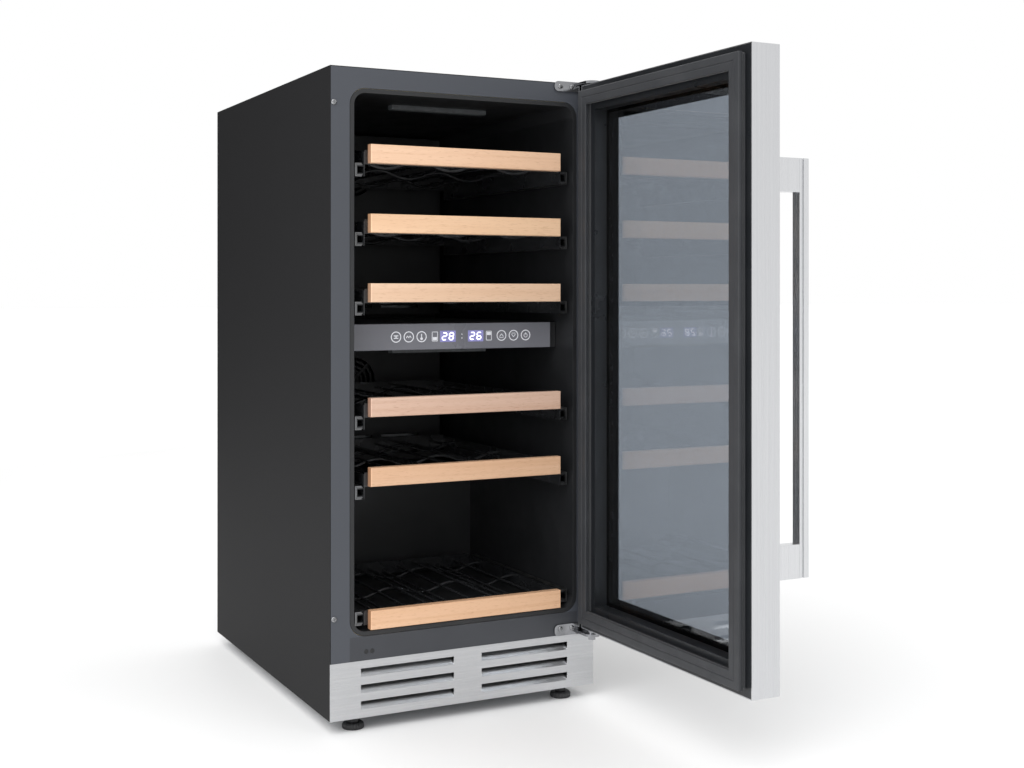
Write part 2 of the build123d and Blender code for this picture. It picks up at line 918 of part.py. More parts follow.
def door_inner_frame():
    """Moulded frame inside the tray that seats the glazing and the gasket."""
    half = half_width - door_skin
    z = (door_bottom + door_skin, door_top - door_skin)
    seat = recess_band - pane_overlap - door_skin
    body = ring_y(half, z, recess_band - door_skin, (glass_inner, door_inner))
    body += ring_y(half, z, seat, (glass_outer, glass_inner))
    return bore_for_pins(body)


def glass_panes():
    """Inner and outer pane of the sealed unit."""
    inset = recess_band - pane_overlap
    panes = []
    for y in ((glass_outer, glass_outer + pane_thickness), (glass_inner - pane_thickness, glass_inner)):
        panes.append(block((inset - half_width, half_width - inset), y,
                           (door_bottom + inset, door_top - inset)))
    return panes


def glass_spacer():
    inset = recess_band - pane_overlap
    return ring_y(half_width - inset, (door_bottom + inset, door_top - inset), spacer_width,
                  (glass_outer + pane_thickness, glass_inner - pane_thickness))


def door_gasket():
    """Magnetic seal: a narrow foot in the door and a wide flat crown that meets the cabinet."""
    half = half_width - gasket_inset
    low, high = door_bottom + gasket_inset, door_top - gasket_inset
    foot = ring_y(half - gasket_step, (low + gasket_step, high - gasket_step),
                  gasket_width - 2 * gasket_step, (door_inner, door_inner + gasket_foot))
    crown = ring_y(half, (low, high), gasket_width,
                   (door_inner + gasket_foot, door_inner + gasket_thickness))
    return foot + crown


post_low = base + handle_bottom
post_high = post_low + handle_length - post_height
handle_x = (-half_width + handle_inset, -half_width + handle_inset + handle_width)
bar_back = door_outer - handle_reach


def handle_bar_piece():
    """Square bar with a shadow groove along both sides."""
    bar = block(handle_x, (bar_back - handle_bar, bar_back), (post_low, post_low + handle_length))
    bar = chamfer(bar.edges().filter_by(Axis.Z).group_by(Axis.Y)[0], handle_edge)
    y = (bar_back - handle_groove_place - handle_groove, bar_back - handle_groove_place)
    z = (post_low - 1, post_low + handle_length + 1)
    for x in handle_x:
        bar -= block((x - handle_groove_depth, x + handle_groove_depth), y, z)
    return bar


def handle_posts():
    posts = []
    for z in (post_low, post_high):
        posts.append(block(handle_x, (bar_back, door_outer), (z, z + post_height)))
    return posts


# ---------------------------------------------------------------- slides and shelves
wall_plane = cavity_half - slide_offset
rack_half = wall_plane - slide_thickness
wood_front = front - wood_proud
wood_back = wood_front + wood_thickness
slide_start = wood_back + strip_thickness + inner_wall / 2


def channel(inner_edge, outer_edge, half_height, wall, y, z, open_inboard):
    """A right-hand C channel; edges count inwards from the slide's mounting plane."""
    x = (wall_plane - outer_edge, wall_plane - inner_edge)
    body = block(x, y, (z - half_height, z + half_height))
    if open_inboard:
        hollow = (x[0] - 1, x[1] - wall)
    else:
        hollow = (x[0] + wall, x[1] + 1)
    return body - block(hollow, (y[0] - 1, y[1] + 1), (z - half_height + wall, z + half_height - wall))


def fixed_slide(z, length):
    y = (slide_start, slide_start + length)
    rail = channel(0, slide_thickness - fixed_lip, slide_height / 2, fixed_wall, y, z, True)
    pad_low = max(z - slide_height / 2 + 1, cavity_bottom + cavity_corner)
    for start in (y[0] + pad_front_gap, y[1] - pad_rear_gap):
        rail += block((wall_plane, cavity_half), (start, start + pad_length),
                      (pad_low, z + slide_height / 2 - 1))
    return rail


middle_half = slide_height / 2 - fixed_wall - slide_gap
inner_half_height = middle_half - middle_wall - slide_gap


def middle_slide(z, length):
    y = (slide_start, slide_start + length)
    start = fixed_wall + slide_gap
    return channel(start, slide_thickness - middle_lip, middle_half, middle_wall, y, z, True)


def inner_slide(z, length, web_z):
    """Inner channel; its web carries the rack's wires."""
    y = (slide_start, slide_start + length)
    start = fixed_wall + middle_wall + 2 * slide_gap + inner_play
    rail = channel(start, slide_thickness, inner_half_height, inner_wall, y, z, False)
    rail += block((rack_half, rack_half + inner_wall), (wood_back, slide_start + length), web_z)
    return rail


wave_pitch = 2 * rack_half / cradles
wave_radius = (wave_pitch**2 / 16 + (wave_height / 2) ** 2) / wave_height
wave_angle = math.asin(wave_pitch / 4 / wave_radius)


def wave_wire(y, z):
    """Cross wire of tangent arcs: a crest at each side and a dip under each bottle."""
    amp = wave_height / 2

    def point(x, height):
        return (x - rack_half, y, z + height)

    def quarter(x, direction):
        bend = wave_angle / 2
        return point(x + direction * wave_radius * math.sin(bend),
                     amp - wave_radius + wave_radius * math.cos(bend))

    arcs = [ThreePointArc(point(0, amp), quarter(0, 1), point(wave_pitch / 4, 0))]
    for index in range(2 * cradles - 1):
        start = wave_pitch / 4 + index * wave_pitch / 2
        height = -amp if index % 2 == 0 else amp
        arcs.append(ThreePointArc(point(start, 0), point(start + wave_pitch / 4, height),
                                  point(start + wave_pitch / 2, 0)))
    end = cradles * wave_pitch
    arcs.append(ThreePointArc(point(end - wave_pitch / 4, 0), quarter(end, -1), point(end, amp)))
    path = Wire(arcs)
    start = Plane(origin=path @ 0, z_dir=path % 0)
    return sweep(start * Circle(cross_wire_radius), path=path)


def shelf_rack(level, slide_z, length, slide_run, lift):
    """Both inner slides, the cross wires, the long wires and the two end strips."""
    middle = level + rack_height + lift
    strip_z = (level - strip_drop + lift, level - strip_drop + lift + strip_height)
    web_z = (min(slide_z - slide_height / 2, strip_z[0]), strip_z[1] - web_drop)
    rail = inner_slide(slide_z, slide_run, web_z)
    y = (wood_back, wood_back + length)
    pieces = [rail, mirrored(rail)]
    for end in ((y[0], y[0] + strip_thickness), (y[1] - strip_thickness, y[1])):
        pieces.append(block((-rack_half, rack_half), end, strip_z))
    for share in cross_wire_shares:
        pieces.append(wave_wire(y[0] + share * length, middle))
    touch = wire_radius + cross_wire_radius
    for index in range(1, 4 * cradles):
        if index % 4 == 0:
            height = wave_height / 2 + touch
        elif index % 2 == 0:
            height = -wave_height / 2 + touch
        else:
            height = touch / math.cos(wave_angle)
        x = -rack_half + index * wave_pitch / 4
        pieces.append(rod_y(x, (y[0] + strip_thickness, y[1] - strip_thickness), middle + height,
                            wire_radius))
    return pieces


def shelf_front(level):
    board = block((-wood_width / 2, wood_width / 2), (wood_front, wood_back), (level, level + wood_height))
    return fillet(board.edges().group_by(Axis.Y)[0], wood_edge)


def make_shelves():
    fixed = []
    for number, level in enumerate(shelf_levels, start=1):
        bottom = number == len(shelf_levels)
        slide_z = level + bottom_slide_rise if bottom else level - slide_drop
        slide_run = bottom_slide_length if bottom else slide_length
        length = bottom_rack_length if bottom else rack_length
        lift = bottom_rack_lift if bottom else 0.0
        rail = fixed_slide(slide_z, slide_run)
        fixed += [rail, mirrored(rail)]
        middle = middle_slide(slide_z, slide_run)
        save(f"slide_middle_{number}", [middle, mirrored(middle)])
        save(f"shelf_rack_{number}", shelf_rack(level, slide_z, length, slide_run, lift))
        save(f"shelf_front_{number}", shelf_front(level))
    save("fixed_slides", fixed)


# ---------------------------------------------------------------- write every node
save("side_panel_left", side_panel())
save("side_panel_right", mirrored(side_panel()))
save("top_panel", top_panel())
save("rear_panel", rear_panel())
save("rear_grille", rear_grille())
save("base_pan", base_pan())
save("machine_cover", machine_cover())
save("front_frame", front_frame())
save("lower_fascia", lower_fascia())
save("inner_liner", inner_liner())
save("foam_insulation", foam_insulation())
save("kick_plate", kick_plate())
save("cabinet_screws", cabinet_screws())
save("zone_divider", zone_divider())
save("control_fascia", control_fascia())
save("display_windows", display_windows())
save("led_bars", led_bars())
save("air_duct_covers", [duct_cover(upper_duct, upper_fan_z), duct_cover(lower_duct, lower_fan_z)])
save("fan_housings", fan_housings())
save("evaporators", evaporators())
save("compressor", compressor())
save("compressor_mounts", compressor_mounts())
save("condenser", condenser())
save("refrigerant_pipes", refrigerant_pipes())
save("power_inlet", power_inlet())
save("hinge_brackets", [upper_bracket(), lower_bracket()])
save("hinge_pins", hinge_pins())
save("circulation_fan_upper", circulation_fan_place(upper_fan_z) * fan_rotor(fan_hole))
save("circulation_fan_lower", circulation_fan_place(lower_fan_z) * fan_rotor(fan_hole))
save("condenser_fan", condenser_fan_place() * fan_rotor(condenser_fan_hole))
for place, (foot_at_x, foot_at_y) in foot_places.items():
    save(f"foot_{place}", levelling_foot(foot_at_x, foot_at_y))
save_on_door("door_frame", door_frame())
save_on_door("door_inner_frame", door_inner_frame())
save_on_door("door_gasket", door_gasket())
save_on_door("glass_panes", glass_panes())
save_on_door("glass_spacer", glass_spacer())
save_on_door("handle_bar", handle_bar_piece())
save_on_door("handle_posts", handle_posts())
make_shelves()
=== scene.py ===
import bmesh
import bpy
import math
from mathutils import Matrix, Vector


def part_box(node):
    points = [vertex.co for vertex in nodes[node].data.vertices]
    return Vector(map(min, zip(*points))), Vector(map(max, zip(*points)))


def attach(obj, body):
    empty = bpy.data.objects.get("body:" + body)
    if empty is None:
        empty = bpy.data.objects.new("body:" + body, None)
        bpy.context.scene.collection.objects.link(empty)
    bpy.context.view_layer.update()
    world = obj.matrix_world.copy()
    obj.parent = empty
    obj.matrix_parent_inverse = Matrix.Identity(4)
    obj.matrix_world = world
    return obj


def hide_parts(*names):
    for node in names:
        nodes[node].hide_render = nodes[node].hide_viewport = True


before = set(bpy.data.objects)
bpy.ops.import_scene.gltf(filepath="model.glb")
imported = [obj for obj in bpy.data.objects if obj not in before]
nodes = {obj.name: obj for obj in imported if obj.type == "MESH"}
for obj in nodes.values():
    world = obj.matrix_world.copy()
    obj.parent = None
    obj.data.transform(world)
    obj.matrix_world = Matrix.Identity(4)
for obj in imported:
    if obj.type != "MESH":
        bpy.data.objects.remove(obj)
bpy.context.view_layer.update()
scene = bpy.context.scene
MM = 0.001
weld_distance = 0.02 * MM
foot_places = ("front_left", "front_right", "rear_left", "rear_right")


# ---------------------------------------------------------------- material kit
def srgb(red, green, blue):
    """A colour given as 0 to 255 display values, in linear light."""
    linear = []
    for value in (red, green, blue):
        share = value / 255
        linear.append(share / 12.92 if share <= 0.04045 else ((share + 0.055) / 1.055) ** 2.4)
    return (*linear, 1.0)


class Look:
    """A Principled material with procedural colour, roughness and relief, in object space."""

    def __init__(self, name, colour, roughness, metallic=0.0, plain=None):
        self.material = bpy.data.materials.new(name)
        self.material.use_nodes = True
        self.nodes = self.material.node_tree.nodes
        self.links = self.material.node_tree.links
        self.shader = self.nodes["Principled BSDF"]
        self.shader.inputs["Base Color"].default_value = srgb(*colour)
        self.shader.inputs["Roughness"].default_value = roughness
        self.shader.inputs["Metallic"].default_value = metallic
        for socket, value in (plain or {}).items():
            self.shader.inputs[socket].default_value = value
        self.place = self.nodes.new("ShaderNodeTexCoord")

    def mapped(self, stretch, shift):
        mapping = self.nodes.new("ShaderNodeMapping")
        mapping.inputs["Scale"].default_value = stretch
        mapping.inputs["Location"].default_value = shift
        self.links.new(self.place.outputs["Object"], mapping.inputs["Vector"])
        return mapping.outputs["Vector"]

    def noise(self, scale, stretch=(1, 1, 1), detail=3.0, shift=(0, 0, 0)):
        node = self.nodes.new("ShaderNodeTexNoise")
        node.inputs["Scale"].default_value = scale
        node.inputs["Detail"].default_value = detail
        self.links.new(self.mapped(stretch, shift), node.inputs["Vector"])
        return node.outputs["Fac"]

    def cells(self, scale, output="Distance"):
        node = self.nodes.new("ShaderNodeTexVoronoi")
        node.inputs["Scale"].default_value = scale
        self.links.new(self.place.outputs["Object"], node.inputs["Vector"])
        return node.outputs[output]

    def span(self, value, start, stop, low=0.0, high=1.0):
        node = self.nodes.new("ShaderNodeMapRange")
        node.inputs["From Min"].default_value = start
        node.inputs["From Max"].default_value = stop
        node.inputs["To Min"].default_value = low
        node.inputs["To Max"].default_value = high
        self.links.new(value, node.inputs["Value"])
        return node.outputs["Result"]

    def along(self, axis, output="Object"):
        """One coordinate of the surface point, or of its normal."""
        node = self.nodes.new("ShaderNodeSeparateXYZ")
        self.links.new(self.place.outputs[output], node.inputs["Vector"])
        return node.outputs[axis]

    def magnitude(self, value):
        node = self.nodes.new("ShaderNodeMath")
        node.operation = "ABSOLUTE"
        self.links.new(value, node.inputs[0])
        return node.outputs[0]

    def layer(self, factor, colour):
        """Lay a colour over what is there, as much as factor says."""
        mix = self.nodes.new("ShaderNodeMix")
        mix.data_type = "RGBA"
        base = self.shader.inputs["Base Color"]
        if base.is_linked:
            self.links.new(base.links[0].from_socket, mix.inputs[6])
        else:
            mix.inputs[6].default_value = base.default_value
        mix.inputs[7].default_value = srgb(*colour)
        self.links.new(factor, mix.inputs[0])
        self.links.new(mix.outputs[2], base)

    def gloss(self, value, start, stop, low, high):
        """Roughness that runs from low to high with a texture."""
        self.links.new(self.span(value, start, stop, low, high), self.shader.inputs["Roughness"])

    def relief(self, height, strength, distance):
        node = self.nodes.new("ShaderNodeBump")
        node.inputs["Strength"].default_value = strength
        node.inputs["Distance"].default_value = distance
        normal = self.shader.inputs["Normal"]
        if normal.is_linked:
            self.links.new(normal.links[0].from_socket, node.inputs["Normal"])
        self.links.new(height, node.inputs["Height"])
        self.links.new(node.outputs["Normal"], normal)


# ---------------------------------------------------------------- materials
def powder_coat(name, colour, lighter, darker, rough, specular):
    """Baked powder paint: a fine orange peel over a very slight mottling."""
    look = Look(name, colour, rough, plain={"Specular IOR Level": specular})
    look.layer(look.span(look.noise(2.2, detail=2.0), 0.35, 0.75, 0.0, 0.5), lighter)
    look.layer(look.span(look.noise(900.0, detail=2.0), 0.5, 0.72, 0.0, 0.3), darker)
    look.gloss(look.noise(500.0), 0.3, 0.7, rough - 0.02, rough + 0.03)
    look.relief(look.noise(700.0, detail=1.0), 0.05, 0.0002)
    return look.material


def moulded_plastic(name, colour, rough, grain=700.0, lighter=None):
    """Injection-moulded plastic with a fine spark-eroded texture and faint handling marks."""
    look = Look(name, colour, rough)
    second = lighter or tuple(min(255, value + 7) for value in colour)
    look.layer(look.span(look.noise(9.0, detail=5.0), 0.4, 0.8), second)
    look.gloss(look.noise(25.0, detail=4.0), 0.3, 0.75, rough - 0.06, rough + 0.1)
    look.relief(look.cells(grain), 0.14, 0.0003)
    look.relief(look.noise(grain * 1.9, detail=1.0), 0.08, 0.0002)
    return look.material


def brushed_steel(name, stretch, colour=(206, 207, 209), rough=0.3):
    """Stainless sheet with fine parallel brush lines and broad soft streaks."""
    look = Look(name, colour, rough, metallic=1.0)
    fine = look.noise(1.0, stretch=stretch, detail=3.0)
    broad = look.noise(0.12, stretch=stretch, detail=2.0, shift=(3.0, 1.0, 2.0))
    look.layer(look.span(fine, 0.42, 0.68, 0.0, 0.3), (184, 185, 188))
    look.layer(look.span(broad, 0.45, 0.7, 0.0, 0.16), (224, 224, 225))
    look.gloss(fine, 0.3, 0.7, rough - 0.05, rough + 0.08)
    look.relief(fine, 0.08, 0.0002)
    return look.material


def galvanised_sheet():
    """Hot-dip zinc: small flat spangles, each with its own tone and gloss."""
    look = Look("galvanised_sheet", (168, 171, 175), 0.42, metallic=0.9)
    spangle = look.cells(140.0, output="Color")
    look.layer(look.span(spangle, 0.2, 0.8, 0.0, 0.4), (154, 157, 162))
    look.layer(look.span(look.noise(4.0), 0.5, 0.8, 0.0, 0.4), (190, 191, 193))
    look.gloss(spangle, 0.1, 0.9, 0.38, 0.48)
    look.relief(look.cells(140.0), 0.03, 0.0002)
    return look.material


def beech(number, colour):
    """Lacquered beech: straight grain along X, short dark rays, darker end grain."""
    shift = (number * 1.7, number * 0.9, number * 2.3)
    look = Look(f"beech_{number}", colour, 0.42, plain={"Coat Weight": 0.18, "Coat Roughness": 0.3})
    red, green, blue = colour
    grain = look.noise(1.0, stretch=(3.0, 190.0, 190.0), detail=5.0, shift=shift)
    bands = look.noise(1.0, stretch=(1.6, 34.0, 34.0), detail=3.0, shift=shift)
    rays = look.noise(1.0, stretch=(110.0, 1250.0, 1250.0), detail=1.0, shift=shift)
    look.layer(look.span(bands, 0.35, 0.7, 0.0, 0.75), (red - 14, green - 20, blue - 24))
    look.layer(look.span(grain, 0.48, 0.72, 0.0, 0.45), (red - 22, green - 29, blue - 32))
    look.layer(look.span(rays, 0.6, 0.72, 0.0, 0.4), (red - 50, green - 60, blue - 60))
    end = look.span(look.magnitude(look.along("X", "Normal")), 0.75, 0.95, 0.0, 0.7)
    look.layer(end, (red - 66, green - 74, blue - 74))
    look.gloss(grain, 0.3, 0.7, 0.36, 0.5)
    look.relief(grain, 0.14, 0.0003)
    look.relief(rays, 0.1, 0.0002)
    return look.material


def plated(name, colour, tone, low, high, scale=30.0):
    """Plated or bare metal with cloudy tone and slightly uneven gloss."""
    look = Look(name, colour, (low + high) / 2, metallic=1.0)
    cloud = look.noise(scale, detail=5.0)
    look.layer(look.span(cloud, 0.4, 0.72, 0.0, 0.65), tone)
    look.gloss(look.noise(scale * 2.5, detail=4.0, shift=(2, 5, 1)), 0.3, 0.7, low, high)
    look.relief(look.noise(scale * 30, detail=2.0), 0.015, 0.0001)
    return look.material


def rubber(name, colour):
    """Soft extruded vinyl: matt, with fine draw lines and a trace of dust."""
    look = Look(name, colour, 0.55, plain={"Sheen Weight": 0.15, "Sheen Roughness": 0.4})
    look.layer(look.span(look.noise(14.0, detail=5.0), 0.5, 0.85, 0.0, 0.5), (60, 62, 65))
    look.gloss(look.noise(45.0, detail=3.0), 0.3, 0.7, 0.46, 0.62)
    look.relief(look.noise(800.0, detail=2.0), 0.12, 0.0003)
    return look.material


def tinted_glass():
    """Grey low-emissivity pane with a barely uneven, wiped surface."""
    plain = {"Transmission Weight": 1.0, "IOR": 1.5}
    look = Look("low_e_glass", (186, 191, 197), 0.0, plain=plain)
    look.gloss(look.noise(16.0, detail=6.0), 0.45, 0.8, 0.0, 0.035)
    return look.material


def glass_print():
    """Black ceramic enamel fired onto the pane's edge."""
    look = Look("glass_print", (15, 16, 18), 0.22)
    look.layer(look.span(look.noise(30.0, detail=4.0), 0.45, 0.8), (24, 26, 29))
    look.gloss(look.noise(120.0), 0.3, 0.7, 0.16, 0.3)
    look.relief(look.noise(1400.0, detail=1.0), 0.05, 0.0001)
    return look.material


def glowing(name, colour, glow, strength, rough=0.35, scale=260.0, darker=0.75):
    """A lit surface, slightly uneven where the light behind it is."""
    look = Look(name, colour, rough, plain={"Emission Strength": strength})
    dim = tuple(value * darker for value in glow)
    ramp = look.nodes.new("ShaderNodeMix")
    ramp.data_type = "RGBA"
    ramp.inputs[6].default_value = srgb(*glow)
    ramp.inputs[7].default_value = srgb(*dim)
    look.links.new(look.span(look.noise(scale, detail=2.0), 0.35, 0.7), ramp.inputs[0])
    look.links.new(ramp.outputs[2], look.shader.inputs["Emission Color"])
    look.relief(look.noise(scale * 4, detail=1.0), 0.05, 0.0001)
    return look.material


def rigid_foam():
    """Poured polyurethane foam with fine open cells."""
    look = Look("rigid_foam", (226, 212, 168), 0.85)
    look.layer(look.span(look.noise(20.0, detail=5.0), 0.4, 0.7), (206, 188, 140))
    look.relief(look.cells(500.0), 0.5, 0.0008)
    return look.material


def painted_shell():
    """Gloss black enamel with a little settled dust on what faces up."""
    look = Look("compressor_paint", (13, 13, 14), 0.2)
    upward = look.span(look.along("Z", "Normal"), 0.5, 1.0, 0.0, 0.35)
    look.layer(upward, (92, 88, 82))
    look.gloss(look.noise(40.0), 0.3, 0.7, 0.16, 0.34)
    look.relief(look.noise(260.0, detail=2.0), 0.2, 0.0005)
    return look.material


board_tones = [
    (227, 191, 161), (226, 190, 156), (223, 192, 165),
    (205, 175, 156), (211, 174, 143), (214, 174, 140),
]
upright = (3200.0, 3200.0, 9.0)
sideways = (9.0, 3200.0, 3200.0)
cabinet_paint = powder_coat("cabinet_paint", (31, 31, 32), (34, 34, 35), (26, 26, 27), 0.6, 0.1)
# Front frame paint, set lighter and bluer than the cabinet paint: the extra lightness is painted sheen for
# the light that the front band catches.
frame_paint_painted_sheen = powder_coat("frame_paint_painted_sheen", (65, 68, 74), (69, 72, 79), (59, 62, 68), 0.38, 0.4)
door_steel = brushed_steel("door_steel", upright)
kick_steel = brushed_steel("kick_steel", sideways, (194, 195, 197))
handle_steel = brushed_steel("handle_steel", upright, (214, 215, 217), 0.24)
zinc_sheet = galvanised_sheet()
liner_plastic = moulded_plastic("liner_plastic", (27, 28, 30), 0.42, 520.0)
fascia_plastic = moulded_plastic("fascia_plastic", (49, 51, 56), 0.4)
control_plastic = moulded_plastic("control_plastic", (108, 109, 116), 0.32, 1500.0, (122, 123, 130))
door_plastic = moulded_plastic("door_plastic", (28, 30, 33), 0.32, 900.0)
divider_plastic = moulded_plastic("divider_plastic", (24, 25, 27), 0.4, 600.0)
duct_plastic = moulded_plastic("duct_plastic", (27, 28, 30), 0.45, 480.0)
fan_plastic = moulded_plastic("fan_plastic", (17, 17, 18), 0.4, 800.0)
inlet_plastic = moulded_plastic("inlet_plastic", (20, 20, 21), 0.38, 1000.0)
foot_plastic = moulded_plastic("foot_plastic", (23, 23, 25), 0.5, 900.0, (48, 48, 50))
wire_coat = moulded_plastic("wire_coat", (30, 31, 33), 0.24, 1600.0, (44, 45, 47))
zinc_slide = plated("zinc_slide", (128, 129, 131), (104, 104, 101), 0.26, 0.46)
chrome = plated("hinge_chrome", (150, 151, 154), (96, 97, 100), 0.1, 0.2, 60.0)
screw_steel = plated("screw_steel", (150, 151, 153), (112, 112, 114), 0.2, 0.36, 160.0)
aluminium = plated("coil_aluminium", (188, 190, 193), (160, 162, 166), 0.28, 0.46)
copper = plated("copper_pipe", (196, 120, 84), (142, 84, 60), 0.2, 0.42, 45.0)
spacer_black = plated("spacer_black", (28, 29, 31), (40, 41, 44), 0.35, 0.5, 60.0)
seal_rubber = rubber("seal_rubber", (39, 41, 45))
glass = tinted_glass()
print_black = glass_print()
foam = rigid_foam()
shell_enamel = painted_shell()
lamp = glowing("lamp_cover", (54, 56, 58), (150, 156, 160), 0.06, 0.5, 190.0, 0.6)
window_glow = glowing("display_glass", (70, 70, 96), (150, 148, 204), 0.85, 0.12, 420.0, 0.86)
digit_glow = glowing("digit_glow", (230, 230, 245), (238, 238, 255), 1.3, 0.3, 500.0, 0.93)
icon_print = glowing("icon_print", (206, 207, 212), (206, 208, 214), 0.35, 0.4, 700.0, 0.85)

finish_of = {
    "side_panel_left": cabinet_paint, "side_panel_right": cabinet_paint, "top_panel": cabinet_paint,
    "front_frame": frame_paint_painted_sheen, "rear_panel": zinc_sheet, "rear_grille": zinc_sheet,
    "base_pan": zinc_sheet, "machine_cover": zinc_sheet, "lower_fascia": fascia_plastic,
    "inner_liner": liner_plastic, "foam_insulation": foam, "kick_plate": kick_steel,
    "cabinet_screws": screw_steel, "zone_divider": divider_plastic, "control_fascia": control_plastic,
    "display_windows": window_glow, "led_bars": lamp, "air_duct_covers": duct_plastic,
    "fan_housings": fan_plastic, "evaporators": aluminium, "compressor": shell_enamel,
    "compressor_mounts": seal_rubber, "condenser": aluminium, "refrigerant_pipes": copper,
    "power_inlet": inlet_plastic, "hinge_brackets": chrome, "hinge_pins": chrome,
    "fixed_slides": zinc_slide, "circulation_fan_upper": fan_plastic,
    "circulation_fan_lower": fan_plastic, "condenser_fan": fan_plastic, "door_frame": door_steel,
    "door_inner_frame": door_plastic, "door_gasket": seal_rubber, "glass_panes": glass,
    "glass_spacer": spacer_black, "handle_bar": handle_steel, "handle_posts": handle_steel,
}
for place in foot_places:
    finish_of[f"foot_{place}"] = foot_plastic
for number, tone in enumerate(board_tones, start=1):
    finish_of[f"shelf_front_{number}"] = beech(number, tone)
    finish_of[f"shelf_rack_{number}"] = wire_coat
    finish_of[f"slide_middle_{number}"] = zinc_slide


def paint(name, material):
    """Give a carried-over CAD node its material."""
    slots = nodes[name].material_slots
    if not slots:
        nodes[name].data.materials.append(material)
    for entry in slots:
        entry.material = material


for name, material in finish_of.items():
    paint(name, material)


def soften(name, width):
    """Round a CAD node's hard edges a little, as folding, sanding or moulding does."""
    weld = nodes[name].modifiers.new("weld", "WELD")
    weld.merge_threshold = weld_distance
    bevel = nodes[name].modifiers.new("bevel", "BEVEL")
    bevel.width = width
    bevel.segments = 2
    bevel.limit_method = "ANGLE"
    bevel.angle_limit = math.radians(40.0)


# ---------------------------------------------------------------- mesh kit
def add_piece(name, bm, material, body, smooth=35.0):
    """Turn a bmesh into a piece that rides on a body; edges sharper than smooth stay crisp."""
    bmesh.ops.remove_doubles(bm, verts=bm.verts, dist=1e-6)
    bmesh.ops.recalc_face_normals(bm, faces=bm.faces)
    for face in bm.faces:
        face.smooth = True
    for edge in bm.edges:
        edge.smooth = edge.calc_face_angle(math.pi) < math.radians(smooth)
    mesh = bpy.data.meshes.new(name)
    bm.to_mesh(mesh)
    bm.free()
    piece = bpy.data.objects.new(name, mesh)
    scene.collection.objects.link(piece)
    mesh.materials.append(material)
    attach(piece, body)
    return piece


def add_ring(bm, low, high, outline, plane):
    """Sweep a closed (inset, depth) outline round a rectangle, with mitred corners."""
    loops = []
    for inset, depth in outline:
        u0, v0 = low[0] + inset, low[1] + inset
        u1, v1 = high[0] - inset, high[1] - inset
        corners = [(u0, v0), (u1, v0), (u1, v1), (u0, v1)]
        loops.append([bm.verts.new(plane(u, v, depth)) for u, v in corners])
    for index, loop in enumerate(loops):
        following = loops[(index + 1) % len(loops)]
        for corner in range(4):
            after = (corner + 1) % 4
            bm.faces.new((loop[corner], loop[after], following[after], following[corner]))


def add_prism(bm, outline, plane, depth):
    """A flat outline of (u, v) points, given a thickness."""
    bottom = [bm.verts.new(plane(u, v, 0.0)) for u, v in outline]
    upper = [bm.verts.new(plane(u, v, depth)) for u, v in outline]
    bm.faces.new(bottom)
    bm.faces.new(upper)
    for index in range(len(outline)):
        after = (index + 1) % len(outline)
        bm.faces.new((bottom[index], bottom[after], upper[after], upper[index]))


def add_lathe(bm, outline, place, segments, ribs=0, rib_depth=0.0):
    """Turn a (radius, height) outline about an axis; place puts (x, y, height) in the frame."""
    loops = []
    for radius, height in outline:
        loop = []
        for index in range(segments):
            angle = 2 * math.pi * index / segments
            size = radius
            if ribs and radius > rib_depth:
                size -= rib_depth * (0.5 + 0.5 * math.cos(ribs * angle))
            loop.append(bm.verts.new(place(size * math.cos(angle), size * math.sin(angle), height)))
        loops.append(loop)
    for first, second in zip(loops, loops[1:]):
        for index in range(segments):
            after = (index + 1) % segments
            bm.faces.new((first[index], first[after], second[after], second[index]))
    bm.faces.new(loops[0])
    bm.faces.new(loops[-1])


def circle(x, z, radius, segments=40):
    """The points of a circle, as an outline."""
    turn = 2 * math.pi / segments
    return [(x + radius * math.cos(turn * i), z + radius * math.sin(turn * i)) for i in range(segments)]


# ---------------------------------------------------------------- door: seal and printed glass edge
seal_low, seal_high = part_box("door_gasket")
pane_low, pane_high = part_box("glass_panes")
seal_width = 19.5 * MM


def door_plane(x_face, direction):
    """Places (u, v, depth) on the open door: u along Y, v along Z, depth along X."""
    def plane(u, v, depth):
        return (x_face + direction * depth, u, v)
    return plane


def seal_outline(width, height):
    """A narrow foot, two folds of bellows and a wide flat magnet crown with a centre groove."""
    radius = 0.1 * height
    side = [(0.11, 0.0), (0.11, 0.1), (0.05, 0.19), (0.12, 0.29), (0.05, 0.4), (0.1, 0.5), (0.012, 0.56),
            (0.0, 0.64)]
    points = [(inset * width, depth * height) for inset, depth in side]
    steps = 5
    for index in range(steps + 1):
        turn = math.pi / 2 * index / steps
        points.append((radius * (1 - math.cos(turn)), height - radius * (1 - math.sin(turn))))
    points += [(0.45 * width, height), (0.47 * width, height * 0.955)]
    return points + [(width - inset, depth) for inset, depth in reversed(points)]


def make_seal():
    """The gasket round the door's inner face, standing out towards the cabinet."""
    bm = bmesh.new()
    height = seal_high.x - seal_low.x
    plane = door_plane(seal_high.x, -1)
    outline = seal_outline(seal_width, height)
    add_ring(bm, (seal_low.y, seal_low.z), (seal_high.y, seal_high.z), outline, plane)
    seal = add_piece("door_seal", bm, seal_rubber, "door")
    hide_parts("door_gasket")


def make_glass_print():
    """The black border fired onto the inner pane, on its face inside the sealed unit."""
    pane = 4.0 * MM
    start = 10.05 * MM
    stop = 19.5 * MM
    film = 0.15 * MM
    gap = 0.02 * MM
    outline = [(start, 0.0), (stop, 0.0), (stop, film), (start, film)]
    bm = bmesh.new()
    plane = door_plane(pane_low.x + pane + gap, 1)
    add_ring(bm, (pane_low.y, pane_low.z), (pane_high.y, pane_high.z), outline, plane)
    add_piece("pane_print", bm, print_black, "door")


# ---------------------------------------------------------------- control strip
fascia_low, fascia_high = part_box("control_fascia")
window_low, window_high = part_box("display_windows")
strip_middle = (fascia_low.z + fascia_high.z) / 2
ink = 0.12 * MM


